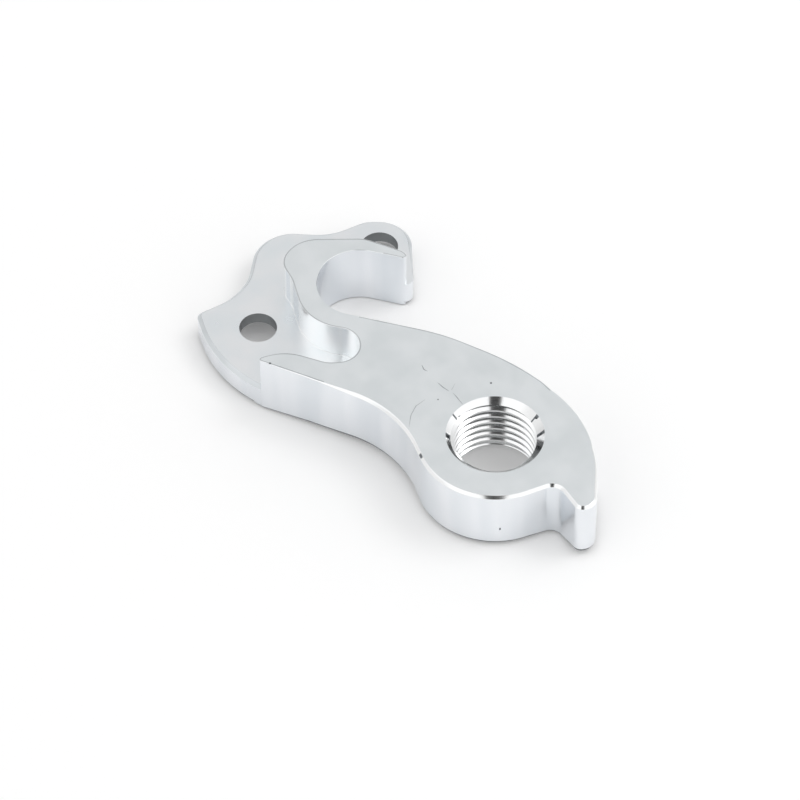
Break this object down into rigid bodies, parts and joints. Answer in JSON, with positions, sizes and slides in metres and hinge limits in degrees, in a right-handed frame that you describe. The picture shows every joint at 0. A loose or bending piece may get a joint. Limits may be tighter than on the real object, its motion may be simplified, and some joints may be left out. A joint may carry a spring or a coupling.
{
  "type": "bicycle derailleur hanger",
  "caption": "Flat machined metal bracket with a curved arm, a threaded eye, a stop tab, an open axle slot and a thin screw flange.",
  "frame": {"origin": "on the axis of the derailleur thread, halfway through the plate", "axes": "+Z along the thread towards the wheel, +Y along the line through the two frame screws, +X towards the stop tab; the outer face lies at the lowest z"},
  "size_m": [0.0552, 0.0281, 0.008],
  "materials": {
    "aluminium": "satin, machined and tumbled"
  },
  "bodies": {
    "root": {"hanger": "aluminium"}
  },
  "joints": []
}
